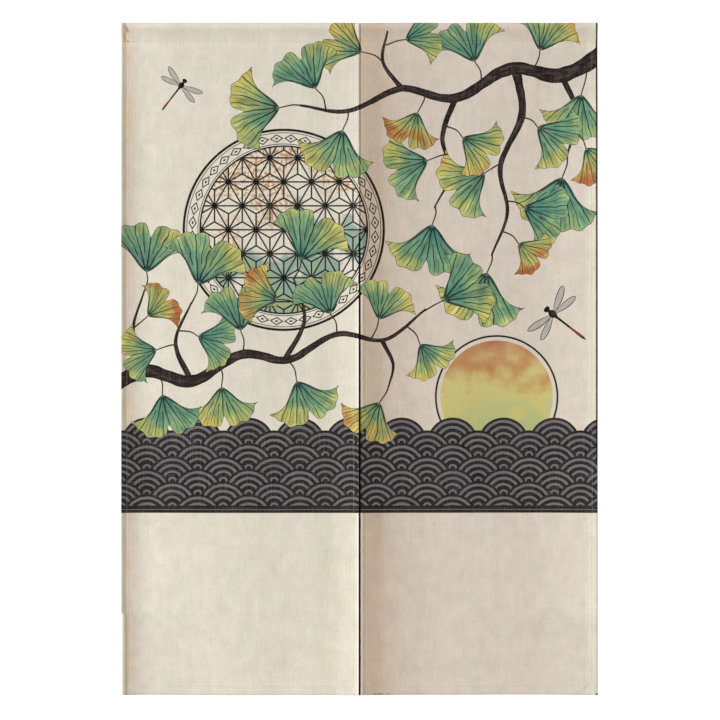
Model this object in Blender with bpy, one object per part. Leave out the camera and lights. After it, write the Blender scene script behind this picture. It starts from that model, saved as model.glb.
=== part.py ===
"""A noren: a split door curtain of two cloth panels that hang from one open rod pocket.

Metres, +Z up. The origin is the middle of the curtain's top edge, X runs to the right, and the
printed front faces -Y. The left panel laps over the right one at the slit.
"""

import math
from typing import NamedTuple

import bmesh
import bpy

# Driving dimensions of the whole curtain
WIDTH = 0.850
DROP = 1.200
SLIT_TOP = 0.378  # below the top edge; the panels are sewn together above it
LAP = 0.013  # of the right panel behind the left one
GAP = 0.0003  # between pieces that touch
LAP_GAP = 0.0004  # the same, measured along Y between sloping cloths

# Cloth, with its turned hems at the back
CLOTH = 0.0012
HEM = 0.0020
SIDE_HEM = 0.012
BOTTOM_HEM = 0.017
HEM_STEP = 0.001  # width of the step from the hem down to the single cloth

# Rod pocket: a teardrop section with a round head and a flat stitched lip
ROD_ROOM = 0.006  # inner radius of the head
POCKET_DROP = 0.0365
LIP = 0.005
LIP_PARTING = 0.0003  # half the width at which the two walls meet above the lip
HEAD_STEPS = 14

# Soft crest that both panels form along the slit
CREST = 0.012
CREST_X = 0.002
CREST_ROUND = 0.004
CREST_REACH_LEFT = 0.110
CREST_REACH_RIGHT = 0.045
SETTLE = 0.16  # length below the pocket over which the folds form
DEPTH_AT_TOP = 0.70  # share of each fold's full depth there; the rest comes by the bottom hem
OPENING = 0.25  # length below the slit's top over which its edges part


class Fold(NamedTuple):
    """A soft upright ridge, or a trough where forward is negative."""

    x: float
    reach: float
    forward: float
    lean: float  # sideways move from the top to the bottom


class FreeEdge(NamedTuple):
    """A free upright edge that stands forward, or back where forward is negative."""

    x: float
    reach: float  # to the right of x where positive, else to the left
    forward: float


LEFT_FOLDS = (
    Fold(x=-0.238, reach=0.165, forward=0.0065, lean=0.012),
    Fold(x=-0.047, reach=0.040, forward=-0.0018, lean=0.004),
)
LEFT_OUTER = FreeEdge(x=-WIDTH / 2, reach=0.050, forward=0.0065)
LEFT_SLIT = FreeEdge(x=0.0, reach=-0.020, forward=0.0010)
RIGHT_FOLDS = (
    Fold(x=0.300, reach=0.160, forward=-0.0040, lean=-0.014),
    Fold(x=0.170, reach=0.070, forward=0.0007, lean=0.010),
)
RIGHT_OUTER = FreeEdge(x=WIDTH / 2, reach=-0.110, forward=0.0075)
RIGHT_SLIT = FreeEdge(x=-LAP, reach=0.024, forward=-0.0004)
LAP_EASE = 0.110  # length over which the right panel comes forward past the lap


class Run(NamedTuple):
    """A stretch of a panel's grid, and the longest cell in it."""

    end: float
    longest: float


# Grid columns, from each panel's left edge to its right
LEFT_COLUMNS = (
    Run(-WIDTH / 2 + SIDE_HEM, 0.006),
    Run(-WIDTH / 2 + SIDE_HEM + HEM_STEP, HEM_STEP),
    Run(-0.380, 0.011),
    Run(-0.110, 0.030),
    Run(-SIDE_HEM - HEM_STEP, 0.012),
    Run(-SIDE_HEM, HEM_STEP),
    Run(0.0, 0.004),
)
RIGHT_COLUMNS = (
    Run(-LAP + SIDE_HEM, 0.004),
    Run(-LAP + SIDE_HEM + HEM_STEP, HEM_STEP),
    Run(0.050, 0.009),
    Run(0.120, 0.0175),
    Run(0.330, 0.035),
    Run(WIDTH / 2 - SIDE_HEM - HEM_STEP, 0.021),
    Run(WIDTH / 2 - SIDE_HEM, HEM_STEP),
    Run(WIDTH / 2, 0.006),
)
# Grid rows, from a panel's top down
ROWS = (
    Run(-0.190, 0.031),
    Run(-DROP + BOTTOM_HEM + HEM_STEP, 0.062),
    Run(-DROP + BOTTOM_HEM, HEM_STEP),
    Run(-DROP, 0.009),
)
PANEL_TOP = -POCKET_DROP - GAP
ROUNDING = 1e-6  # keeps an exact fit from becoming one cell more

# Base colours, linear
POCKET_COLOUR = (0.69, 0.64, 0.54)
LEFT_COLOUR = (0.74, 0.69, 0.59)
RIGHT_COLOUR = (0.63, 0.56, 0.48)
CLOTH_ROUGHNESS = 0.9


def smooth(share):
    """0 to 1 with soft ends."""
    share = min(max(share, 0.0), 1.0)
    return share * share * (3.0 - 2.0 * share)


def bell(distance, reach):
    """1 at the middle of a fold, falling softly to 0 at its reach."""
    if abs(distance) >= reach:
        return 0.0
    return (1.0 + math.cos(math.pi * distance / reach)) / 2.0


def lift(x, edge):
    """How far a free edge stands forward at x: steepest at the edge, level at its reach."""
    inside = min(max((x - edge.x) / edge.reach, 0.0), 1.0)
    return edge.forward * (1.0 - math.sin(math.pi / 2.0 * inside))


def crest(x):
    """The rounded ridge along the slit, from 0 to 1."""
    away = x - CREST_X
    reach = CREST_REACH_LEFT if away < 0.0 else CREST_REACH_RIGHT
    return math.exp(-(math.hypot(away, CREST_ROUND) - CREST_ROUND) / reach)


def folds_at(x, z, folds, outer):
    """How far the folds and the outer edge stand forward of the flat cloth at the pocket."""
    share = -z / DROP
    depth = smooth((PANEL_TOP - z) / SETTLE) * (DEPTH_AT_TOP + (1.0 - DEPTH_AT_TOP) * share)
    forward = CREST * crest(x) + lift(x, outer)
    forward += sum(f.forward * bell(x - f.x - f.lean * share, f.reach) for f in folds)
    return depth * forward


def parting(z):
    """0 where the panels are sewn together, 1 where the slit hangs fully free."""
    return smooth((-SLIT_TOP - z) / OPENING)


def left_front(x, z):
    """Y of the left panel's printed face."""
    return -CLOTH - folds_at(x, z, LEFT_FOLDS, LEFT_OUTER) - parting(z) * lift(x, LEFT_SLIT)


def right_front(x, z):
    """Y of the right panel's printed face, which goes behind the left one at the lap."""
    behind = (HEM + LAP_GAP) * (1.0 - smooth(x / LAP_EASE))
    forward = folds_at(x, z, RIGHT_FOLDS, RIGHT_OUTER) + parting(z) * lift(x, RIGHT_SLIT)
    return -CLOTH + behind - forward


def stops(start, runs):
    """Grid lines from start through the runs, each split evenly into its longest cell or less."""
    lines = [start]
    for run in runs:
        begin = lines[-1]
        cells = math.ceil(abs(run.end - begin) / run.longest - ROUNDING)
        lines += [begin + (run.end - begin) * i / cells for i in range(1, cells + 1)]
    return lines


def cloth_material(name, colour):
    material = bpy.data.materials.new(name)
    material.use_nodes = True
    shader = material.node_tree.nodes["Principled BSDF"]
    shader.inputs["Base Color"].default_value = (*colour, 1.0)
    shader.inputs["Roughness"].default_value = CLOTH_ROUGHNESS
    shader.inputs["Metallic"].default_value = 0.0
    material.diffuse_color = (*colour, 1.0)
    return material


def finished(name, shape, place, parent, material):
    """The bmesh as a named object under its parent."""
    mesh = bpy.data.meshes.new(name)
    shape.to_mesh(mesh)
    shape.free()
    mesh.shade_smooth()
    mesh.materials.append(material)
    piece = bpy.data.objects.new(name, mesh)
    bpy.context.scene.collection.objects.link(piece)
    piece.parent = parent
    piece.location = place
    return piece


def panel(name, columns, front, parent, material):
    """One hung panel: its folded front face, thickened to the back, doubled at its hems."""
    rows = stops(PANEL_TOP, ROWS)
    shape = bmesh.new()
    grid = [[shape.verts.new((x, front(x, z), z - PANEL_TOP)) for x in columns] for z in rows]
    for upper, lower in zip(grid, grid[1:]):
        for i in range(len(columns) - 1):
            shape.faces.new((upper[i], lower[i], lower[i + 1], upper[i + 1]))
    piece = finished(name, shape, (0.0, 0.0, PANEL_TOP), parent, material)
    thickness_of_hems(piece, columns, rows)
    return piece


def thickness_of_hems(piece, columns, rows):
    """A Solidify whose vertex group says where the cloth is doubled."""
    layers = piece.vertex_groups.new(name="layers")
    for row, z in enumerate(rows):
        for column, x in enumerate(columns):
            at_side = min(x - columns[0], columns[-1] - x) < SIDE_HEM + HEM_STEP / 2.0
            at_bottom = z + DROP < BOTTOM_HEM + HEM_STEP / 2.0
            doubled = at_side or at_bottom
            weight = 1.0 if doubled else CLOTH / HEM
            layers.add([row * len(columns) + column], weight, "REPLACE")
    cloth = piece.modifiers.new("cloth thickness", "SOLIDIFY")
    cloth.thickness = HEM
    cloth.offset = -1.0
    cloth.vertex_group = layers.name
    cloth.use_rim = True


def teardrop(radius, foot_half, foot_z):
    """Points (y, z) round a section: front foot, over the round head, back foot."""
    head_z = -(ROD_ROOM + CLOTH)
    fall = head_z - foot_z
    flank = math.asin((radius - foot_half) / fall)
    first = -flank
    last = math.pi + flank
    points = [(-foot_half, foot_z)]
    for step in range(HEAD_STEPS + 1):
        turn = first + (last - first) * step / HEAD_STEPS
        points.append((-radius * math.cos(turn), head_z + radius * math.sin(turn)))
    points.append((foot_half, foot_z))
    return points


def rod_pocket(parent, material):
    """The sleeve that the rod goes through, open at both ends."""
    shape = bmesh.new()
    outer = teardrop(ROD_ROOM + CLOTH, CLOTH, -POCKET_DROP)
    inner = teardrop(ROD_ROOM, LIP_PARTING, -POCKET_DROP + LIP)
    walls = [[shape.verts.new((-WIDTH / 2.0, y, z)) for y, z in loop] for loop in (outer, inner)]
    count = len(outer)
    end = []
    for i in range(count):
        after = (i + 1) % count
        end.append(
            shape.faces.new((walls[0][i], walls[0][after], walls[1][after], walls[1][i]))
        )
    made = bmesh.ops.extrude_face_region(shape, geom=end)
    moved = [item for item in made["geom"] if isinstance(item, bmesh.types.BMVert)]
    bmesh.ops.translate(shape, verts=moved, vec=(WIDTH, 0.0, 0.0))
    bmesh.ops.recalc_face_normals(shape, faces=shape.faces)
    return finished("rod_pocket", shape, (0.0, 0.0, 0.0), parent, material)


def clear_scene():
    for thing in list(bpy.data.objects):
        bpy.data.objects.remove(thing, do_unlink=True)


def main():
    clear_scene()
    noren = bpy.data.objects.new("noren", None)
    bpy.context.scene.collection.objects.link(noren)
    rod_pocket(noren, cloth_material("pocket_cloth", POCKET_COLOUR))
    left_columns = stops(-WIDTH / 2.0, LEFT_COLUMNS)
    panel("panel_left", left_columns, left_front, noren, cloth_material("left_cloth", LEFT_COLOUR))
    right_columns = stops(-LAP, RIGHT_COLUMNS)
    panel("panel_right", right_columns, right_front, noren, cloth_material("right_cloth", RIGHT_COLOUR))


main()
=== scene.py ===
"""The looks of the noren: two printed cloth panels and their rod pocket, hemmed and stitched.

The flat cloth is drawn in metres: x runs to the right and z up, both 0 at the middle of the top
edge, and each sheet is cut along its printed outlines before it is laid on the hung folds.
"""

import math
import random
from typing import NamedTuple

import bmesh
import bpy
import numpy as np
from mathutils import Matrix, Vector
from mathutils.geometry import delaunay_2d_cdt


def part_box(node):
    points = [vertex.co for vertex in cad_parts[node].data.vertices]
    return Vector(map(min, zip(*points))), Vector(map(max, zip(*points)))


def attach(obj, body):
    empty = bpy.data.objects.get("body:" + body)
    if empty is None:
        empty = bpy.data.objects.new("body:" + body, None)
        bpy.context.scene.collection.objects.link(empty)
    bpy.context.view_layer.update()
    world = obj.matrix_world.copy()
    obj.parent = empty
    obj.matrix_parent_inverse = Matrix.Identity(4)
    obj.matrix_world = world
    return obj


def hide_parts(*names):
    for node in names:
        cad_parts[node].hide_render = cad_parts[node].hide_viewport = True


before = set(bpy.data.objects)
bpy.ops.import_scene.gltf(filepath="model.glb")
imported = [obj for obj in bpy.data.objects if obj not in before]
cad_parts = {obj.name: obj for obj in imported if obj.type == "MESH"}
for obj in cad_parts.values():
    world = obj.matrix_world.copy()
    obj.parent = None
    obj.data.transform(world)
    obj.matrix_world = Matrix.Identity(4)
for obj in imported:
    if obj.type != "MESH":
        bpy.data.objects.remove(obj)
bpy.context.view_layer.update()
bpy.ops.object.select_all(action="DESELECT")

# Sizes that the frame gives
POCKET_LOW, POCKET_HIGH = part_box("rod_pocket")
LEFT_LOW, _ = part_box("panel_left")
WIDTH = POCKET_HIGH.x - POCKET_LOW.x
POCKET_DROP = -POCKET_LOW.z
DROP = round(-LEFT_LOW.z, 4)
HEAD_RADIUS = POCKET_HIGH.y

# The cloth, thinner than its solids and inside them
CLOTH = 0.0007
HEM = 0.0015
FRONT = -0.00085  # Y of the flat cloth's printed face
SIDE_HEM = 0.012
BOTTOM_HEM = 0.017
HEM_SLOPE = 0.0006  # width of the step from a hem down to the single cloth
HEM_SHOWS = 0.00012  # how far a hem's second layer presses the front forward
STITCH_IN = 0.002  # from a hem's inner edge to its stitches
GROOVE = 0.00022  # how far the stitches pull the cloth in
GROOVE_REACH = 0.0008
EDGE_THINS = 1.9  # a folded edge is thinner by nearly twice its rounding
PUCKER = 0.00022  # height of the short waves that the hem stitches gather
DENT = 0.0007  # height of the cloth's broad dents
GATHER = 0.0004  # height of the upright waves under the pocket
POCKET_DENT = 0.00015
END_HEM = 0.0004  # what the turned ends add to the pocket's cloth
SEW_TOP = -POCKET_DROP  # where the panels begin, under the pocket's foot
SLIT_TOP = 0.378
LAP = 0.013
LAP_STEP = 0.0019  # of the right panel behind the left one's printed face
LAP_EASE = 0.110

# The folds, as the solids have them
CREST = 0.012
CREST_X = 0.002
CREST_ROUND = 0.004
CREST_REACH_LEFT = 0.110
CREST_REACH_RIGHT = 0.045
SETTLE = 0.16
DEPTH_AT_TOP = 0.70
OPENING = 0.25


class Fold(NamedTuple):
    """A soft upright ridge, or a trough where forward is negative."""

    x: float
    reach: float
    forward: float
    lean: float


class FreeEdge(NamedTuple):
    """An upright edge that stands forward, with its reach to the right where positive."""

    x: float
    reach: float
    forward: float


LEFT_FOLDS = (
    Fold(x=-0.238, reach=0.165, forward=0.0065, lean=0.012),
    Fold(x=-0.047, reach=0.040, forward=-0.0018, lean=0.004),
)
LEFT_OUTER = FreeEdge(x=-WIDTH / 2, reach=0.050, forward=0.0065)
LEFT_SLIT = FreeEdge(x=0.0, reach=-0.020, forward=0.0010)
RIGHT_FOLDS = (
    Fold(x=0.300, reach=0.160, forward=-0.0040, lean=-0.014),
    Fold(x=0.170, reach=0.070, forward=0.0007, lean=0.010),
)
RIGHT_OUTER = FreeEdge(x=WIDTH / 2, reach=-0.110, forward=0.0075)
RIGHT_SLIT = FreeEdge(x=-LAP, reach=0.024, forward=-0.0004)


def smooth(share):
    share = np.clip(share, 0.0, 1.0)
    return share * share * (3.0 - 2.0 * share)


def bell(distance, reach):
    return np.where(np.abs(distance) < reach, (1.0 + np.cos(np.pi * distance / reach)) / 2.0, 0.0)


def lift(x, edge):
    inside = np.clip((x - edge.x) / edge.reach, 0.0, 1.0)
    return edge.forward * (1.0 - np.sin(np.pi / 2.0 * inside))


def crest(x):
    away = x - CREST_X
    reach = np.where(away < 0.0, CREST_REACH_LEFT, CREST_REACH_RIGHT)
    return np.exp(-(np.hypot(away, CREST_ROUND) - CREST_ROUND) / reach)


def ripple(t, seed):
    """A soft uneven wave between about -1 and 1."""
    return (
        np.sin(t + seed) + 0.6 * np.sin(2.3 * t + 1.7 * seed) + 0.4 * np.sin(3.9 * t + 2.9 * seed)
    ) / 2.0


def folds_at(x, z, folds, outer):
    share = -z / DROP
    depth = smooth((SEW_TOP - z) / SETTLE) * (DEPTH_AT_TOP + (1.0 - DEPTH_AT_TOP) * share)
    forward = CREST * crest(x) + lift(x, outer)
    for fold in folds:
        forward = forward + fold.forward * bell(x - fold.x - fold.lean * share, fold.reach)
    return depth * forward


def unevenness(x, z):
    """Small soft dents that no two lengths of hung cloth share."""
    below = SEW_TOP - z
    broad = DENT * ripple(21.0 * x + 5.0 * z, 1.3) * ripple(7.0 * z - 4.0 * x, 0.4)
    hung = GATHER * ripple(60.0 * x + 1.5 * z, 2.1) * np.exp(below * -9.0) * smooth(below / 0.012)
    return smooth(below / SETTLE) * broad + hung


def parting(z):
    return smooth((-SLIT_TOP - z) / OPENING)


def behind(x):
    """How far the right panel lies behind the left one's face, easing off past the lap."""
    return LAP_STEP * (1.0 - smooth(x / LAP_EASE))


class Panel(NamedTuple):
    """A cut panel: its upright edges and its folds."""

    left: float
    right: float
    folds: tuple
    outer: FreeEdge
    slit: FreeEdge
    lapped: bool

    def edge_distance(self, x, z):
        return np.minimum(x - self.left, self.right - x), z + DROP

    def in_hem(self, x, z):
        side, bottom = self.edge_distance(x, z)
        near_side = smooth((SIDE_HEM + HEM_SLOPE - side) / HEM_SLOPE)
        near_bottom = smooth((BOTTOM_HEM + HEM_SLOPE - bottom) / HEM_SLOPE)
        return np.maximum(near_side, near_bottom)

    def groove(self, x, z):
        """How far the stitches pull the cloth in."""
        side, bottom = self.edge_distance(x, z)
        from_side = np.where(bottom > BOTTOM_HEM - STITCH_IN, side - SIDE_HEM + STITCH_IN, 1.0)
        from_bottom = np.where(side > SIDE_HEM - STITCH_IN, bottom - BOTTOM_HEM + STITCH_IN, 1.0)
        near = np.minimum(np.abs(from_side), np.abs(from_bottom))
        return GROOVE * np.exp(-((near / GROOVE_REACH) ** 2))

    def pucker(self, x, z):
        side, bottom = self.edge_distance(x, z)
        at_side = np.exp(-np.abs(side - SIDE_HEM) / 0.012) * ripple(z * 190.0, self.left * 9.0)
        at_bottom = np.exp(-np.abs(bottom - BOTTOM_HEM) / 0.014) * ripple(x * 170.0, 0.8)
        return PUCKER * (at_side + at_bottom)

    def rounding(self, x, z):
        """How far a folded edge curves back from its face."""
        side, bottom = self.edge_distance(x, z)
        radius = HEM / 2.0
        inside = np.clip(radius - np.minimum(side, bottom), 0.0, radius)
        return radius - np.sqrt(radius**2 - inside**2)

    def thickness(self, x, z):
        layers = CLOTH + (HEM - CLOTH) * self.in_hem(x, z)
        return layers - EDGE_THINS * self.rounding(x, z) - self.groove(x, z)

    def front(self, x, z):
        """Y of the printed face."""
        below_seam = smooth((SEW_TOP - z) / 0.02)
        free = below_seam * smooth((np.abs(x) - 0.012) / 0.03)
        forward = folds_at(x, z, self.folds, self.outer) + parting(z) * lift(x, self.slit)
        forward = forward + HEM_SHOWS * self.in_hem(x, z) * below_seam
        forward = forward + unevenness(x, z) * free + self.pucker(x, z) * free
        y = FRONT - forward + self.rounding(x, z) + self.groove(x, z)
        return y + behind(x) if self.lapped else y

    def place(self, x, z):
        return x, self.front(x, z), z


LEFT = Panel(-WIDTH / 2, 0.0, LEFT_FOLDS, LEFT_OUTER, LEFT_SLIT, False)
RIGHT = Panel(-LAP, WIDTH / 2, RIGHT_FOLDS, RIGHT_OUTER, RIGHT_SLIT, True)


class Pocket:
    """The teardrop sleeve, read along its section from the front foot over the head and down."""

    radius = HEAD_RADIUS
    flank = math.asin((HEAD_RADIUS + FRONT) / (POCKET_DROP - HEAD_RADIUS))
    straight = (POCKET_DROP - HEAD_RADIUS) * math.cos(flank)
    length = 2.0 * straight + HEAD_RADIUS * (math.pi + 2.0 * flank)
    stitch = 0.0020  # from each foot to its stitches
    left = -WIDTH / 2
    right = WIDTH / 2

    def inward(self, x, s):
        """How far the face lies inside the plain section: the rounded ends and the stitches."""
        edge = HEM / 2.0
        rim = np.minimum(x - self.left, self.right - x)
        rim = np.where(x > 0.0, rim, np.minimum(rim, -x))
        inside = np.clip(edge - rim, 0.0, edge)
        from_stitch = np.minimum(np.abs(s - self.stitch), np.abs(self.length - s - self.stitch))
        groove = GROOVE * np.exp(-((from_stitch / GROOVE_REACH) ** 2))
        return edge - np.sqrt(edge**2 - inside**2) + groove

    def place(self, x, s):
        """The point at s along the section; right of the lap the whole sleeve lies further back."""
        turn = (s - self.straight) / self.radius - self.flank
        turn = np.clip(turn, -self.flank, math.pi + self.flank)
        out_y, out_z = -np.cos(turn), np.sin(turn)
        before = np.minimum(s - self.straight, 0.0)
        after = np.maximum(s - self.length + self.straight, 0.0)
        y = self.radius * out_y - before * math.sin(self.flank) - after * math.sin(self.flank)
        z = -self.radius + self.radius * out_z + (before - after) * math.cos(self.flank)
        soft = POCKET_DENT * ripple(x * 40.0, 0.9) * np.sin(np.pi * s / self.length)
        step = self.inward(x, s) + soft
        back = np.where(x > 0.0, behind(x), 0.0)
        return x, y - out_y * step + back, z - out_z * step

    def thickness(self, x, s):
        end = np.minimum(x - self.left, self.right - x)
        return CLOTH + END_HEM * smooth((SIDE_HEM + HEM_SLOPE - end) / HEM_SLOPE)


POCKET = Pocket()


# The print: generic waves, ginkgo boughs, roundels and dragonflies on the flat cloth
LEAF, LINE, BOUGH, WAVE, ROUNDEL, SUN, INK, RED, WING, STRIP = range(1, 11)


class Motif:
    """A printed shape: its outline on the flat cloth and its own coordinates inside it."""

    def __init__(self, ink, outline, spots, floor=-9.0):
        self.ink = ink
        self.outline = np.asarray(outline, float)
        self.spots = spots
        self.floor = floor
        self.low = self.outline.min(0)
        self.high = self.outline.max(0)

    def covers(self, points):
        """Which points lie inside the outline, by the even-odd rule."""
        found = ((points >= self.low) & (points <= self.high)).all(1) & (points[:, 1] > self.floor)
        near = np.flatnonzero(found)
        px, pz = points[near, 0][:, None], points[near, 1][:, None]
        ax, az = self.outline.T
        bx, bz = np.roll(self.outline, -1, 0).T
        spans = (az > pz) != (bz > pz)
        with np.errstate(divide="ignore", invalid="ignore"):
            crossing = ax + (pz - az) * (bx - ax) / (bz - az)
        inside = (spans & (px < crossing)).sum(1) % 2 == 1
        found[near] = inside
        return found


def in_place(x, z, size, turn, tint):
    """Spots for a motif that is scaled by size and turned anticlockwise, in radians."""
    across = np.array((math.cos(turn), math.sin(turn))) / size
    along = np.array((-math.sin(turn), math.cos(turn))) / size

    def spots(points):
        away = points - (x, z)
        return np.column_stack((away @ across, away @ along, np.full(len(points), tint)))

    return spots


def placed(form, x, z, size, turn):
    cos, sin = math.cos(turn), math.sin(turn)
    return np.asarray(form) @ (np.array(((cos, sin), (-sin, cos))) * size) + (x, z)


def fan_form():
    """A ginkgo leaf's outline: its joint at 0, 0 and its rim upwards, one unit long."""
    half = math.radians(64)
    flank = [(t, half * (1.0 - 0.26 * math.sin(math.pi * t))) for t in np.linspace(0.0, 0.90, 13)]
    rim = []
    for angle in np.linspace(half, -half, 61)[1:-1]:
        notch = 0.34 * math.exp(-((angle / 0.085) ** 2))
        wave = 0.030 * math.cos(11.0 * angle + 0.6) + 0.018 * math.cos(23.0 * angle)
        shoulder = 0.10 * (abs(angle) / half) ** 6
        rim.append((1.0 - notch + wave - shoulder, angle))
    around = flank + rim + [(t, -angle) for t, angle in reversed(flank[1:])]
    return [(t * math.sin(angle), t * math.cos(angle)) for t, angle in around]


def inset(outline, width):
    """A clockwise outline drawn in by a width."""
    way = np.roll(outline, -1, 0) - np.roll(outline, 1, 0)
    way /= np.linalg.norm(way, axis=1)[:, None]
    return outline + np.column_stack((way[:, 1], -way[:, 0])) * width


FAN = np.array(fan_form())
FAN_LINE = 0.0095  # width of its drawn outline
FAN_INSIDE = inset(FAN, -FAN_LINE)


def curve_through(points, step):
    """A smooth line through given points, as close points and their distance along it."""
    knots = [np.array(p, float) for p in points]
    knots = [2 * knots[0] - knots[1], *knots, 2 * knots[-1] - knots[-2]]
    line = []
    for a, b, c, d in zip(knots, knots[1:], knots[2:], knots[3:]):
        cells = max(2, math.ceil(np.linalg.norm(c - b) / step))
        for i in range(cells):
            t = i / cells
            line.append(
                0.5 * (2 * b + (c - a) * t + (2 * a - 5 * b + 4 * c - d) * t**2
                       + (3 * b - a - 3 * c + d) * t**3)
            )
    line.append(knots[-2])
    line = np.array(line)
    along = np.concatenate(((0.0,), np.cumsum(np.linalg.norm(np.diff(line, axis=0), axis=1))))
    return line, along


def stroke(points, thick, thin, ink, tint=0.0, step=0.006, knobs=0.0):
    """A tapering brush stroke."""
    line, along = curve_through(points, step)
    way = np.gradient(line, axis=0)
    way /= np.linalg.norm(way, axis=1)[:, None]
    side = np.column_stack((-way[:, 1], way[:, 0]))
    share = along / along[-1]
    half = (thick + (thin - thick) * share**0.8) / 2.0
    left = half * (1.0 + knobs * ripple(along * 75.0, tint * 7.0 + 1.0))
    right = half * (1.0 + knobs * ripple(along * 62.0, tint * 5.0 + 4.0))
    tip = line[-1] + way[-1] * half[-1]
    outline = np.vstack((line + side * left[:, None], tip, (line - side * right[:, None])[::-1]))

    def spots(corners):
        away = corners[:, None, :] - line[None]
        nearest = (away**2).sum(2).argmin(1)
        across = (away[np.arange(len(corners)), nearest] * side[nearest]).sum(1)
        return np.column_stack(
            (along[nearest], across / half[nearest], np.full(len(corners), tint))
        )

    return Motif(ink, outline, spots)


class Leaf(NamedTuple):
    """A leaf on its stalk: where the stalk leaves the twig, where the leaf begins, its size."""

    twig_x: float
    twig_z: float
    x: float
    z: float
    size: float
    tint: float  # from 0, mostly teal, to 1, mostly ochre


STALK_THICK, STALK_THIN = 0.0030, 0.0020
STALK_BOW_X, STALK_BOW_Z = 0.004, 0.003


def leaf_motifs(leaf):
    turn = math.atan2(-(leaf.x - leaf.twig_x), leaf.z - leaf.twig_z)
    middle = (leaf.twig_x + leaf.x) / 2 + STALK_BOW_X, (leaf.twig_z + leaf.z) / 2 + STALK_BOW_Z
    stalk = ((leaf.twig_x, leaf.twig_z), middle, (leaf.x, leaf.z))
    yield stroke(stalk, STALK_THICK, STALK_THIN, BOUGH)
    spots = in_place(leaf.x, leaf.z, leaf.size, turn, leaf.tint)
    yield Motif(LINE, placed(FAN, leaf.x, leaf.z, leaf.size, turn), spots)
    yield Motif(LEAF, placed(FAN_INSIDE, leaf.x, leaf.z, leaf.size, turn), spots)


def ring_form(count):
    return [(math.cos(a), math.sin(a)) for a in np.linspace(0.0, 2.0 * math.pi, count + 1)[:-1]]


def roundel(ink, x, z, radius, count):
    return Motif(ink, placed(ring_form(count), x, z, radius, 0.0), in_place(x, z, radius, 0.0, 0.0))


# The band of waves
WAVE_RADIUS = 0.0455
WAVE_TOP = -0.705
WAVE_BOTTOM = -0.862
WAVE_STRIP = 0.013
WAVE_POINTS = 30  # along a scallop's edge
WAVE_SKIRT = -0.12  # a scallop reaches down here, under the rows in front of it


def wave_motifs(rng):
    """Overlapping scallops in rows, each row in front of the one above it, over a plain strip."""
    half = [(math.cos(a), math.sin(a)) for a in np.linspace(0.0, math.pi, WAVE_POINTS)]
    half += [(-0.5, WAVE_SKIRT), (0.5, WAVE_SKIRT)]
    row = 0
    z = WAVE_TOP - WAVE_RADIUS
    while z + WAVE_RADIUS > WAVE_BOTTOM:
        x = -WIDTH / 2 - WAVE_RADIUS * (1 + row % 2)
        while x < WIDTH / 2 + WAVE_RADIUS:
            outline = placed(half, x, z, WAVE_RADIUS, 0.0)
            spots = in_place(x, z, WAVE_RADIUS, 0.0, rng.random())
            yield Motif(WAVE, outline, spots, floor=WAVE_BOTTOM)
            x += 2 * WAVE_RADIUS
        z -= WAVE_RADIUS / 2
        row += 1
    across = np.linspace(-WIDTH, WIDTH, 300)
    top = np.column_stack((across, np.full(300, WAVE_BOTTOM)))
    strip = np.vstack((top, top[::-1] - (0.0, WAVE_STRIP)))
    yield Motif(STRIP, strip, in_place(0.0, WAVE_BOTTOM, 1.0, 0.0, 0.0))


def wing_form():
    """A dragonfly's wing: its root at 0, 0 and its rounded tip to the right, one unit long."""
    along = np.sin(np.linspace(0.0, np.pi / 2, 22))
    half = 0.030 + 0.085 * np.sin(np.pi * along**1.25) ** 0.8 + 0.018 * along
    half *= np.sqrt(np.clip(1.0 - ((along - 0.86) / 0.14).clip(0.0) ** 2, 0.0, 1.0))
    top = np.column_stack((along, half * 0.85 + 0.02 * along))
    under = np.column_stack((along, -half * 1.15 + 0.02 * along))[::-1][1:-1]
    return np.vstack((top, under))


def body_form():
    """Its body from the front of the head down to the tip of the tail, one unit long."""
    half = ((0.000, 0.022), (0.012, 0.052), (0.045, 0.066), (0.080, 0.050), (0.098, 0.026),
            (0.112, 0.034), (0.145, 0.062), (0.195, 0.070), (0.245, 0.052), (0.285, 0.028),
            (0.330, 0.023), (0.500, 0.020), (0.700, 0.021), (0.840, 0.027), (0.930, 0.023),
            (1.000, 0.008))
    right = curve_through([(side, -down) for down, side in half], 0.012)[0]
    return np.vstack((right, right[::-1] * (-1.0, 1.0)))


WING_FORM = wing_form()
BODY_FORM = body_form()
WINGS = ((18, 1.0), (-14, 0.94), (162, 1.0), (194, 0.94))  # degrees, and share of a front wing
WING_LENGTH = 0.56  # of the body's length
WING_MIDDLE = (0.5, 0.0)
WING_FILM = (0.95, 0.78)  # size of the grey film against its black rim's
THORAX = 0.19  # of the body's length down from the front of the head
TAIL_RED = (0.62, 0.90)  # from and to, down the body
TAIL_THICK = 0.026


def dragonfly_motifs(x, z, size, turn):
    """A dragonfly seen from above, its head upwards before it is turned, its wings at x, z."""
    for degrees, share in WINGS:
        way = 1.0 if abs(degrees) < 90 else -1.0
        root = placed(((way * 0.03, -0.02 * (share < 1.0)),), x, z, size, turn)[0]
        at = (*root, size * share * WING_LENGTH, math.radians(degrees) + turn)
        rim = WING_FORM * (1.0, way)
        film = (rim - WING_MIDDLE) * WING_FILM + WING_MIDDLE
        yield Motif(INK, placed(rim, *at), in_place(*at, 0.0))
        yield Motif(WING, placed(film, *at), in_place(*at, 0.0))
    body = placed(BODY_FORM + (0.0, THORAX), x, z, size, turn)
    yield Motif(INK, body, in_place(x, z, size, turn, 0.0))
    tail = placed([(0.0, THORAX - down) for down in TAIL_RED], x, z, size, turn)
    yield stroke(tail, size * TAIL_THICK, size * TAIL_THICK, RED, step=0.003)


class Bough(NamedTuple):
    """A bough or twig: its thickness at both ends and the points it runs through."""

    thick: float
    thin: float
    points: tuple


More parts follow.
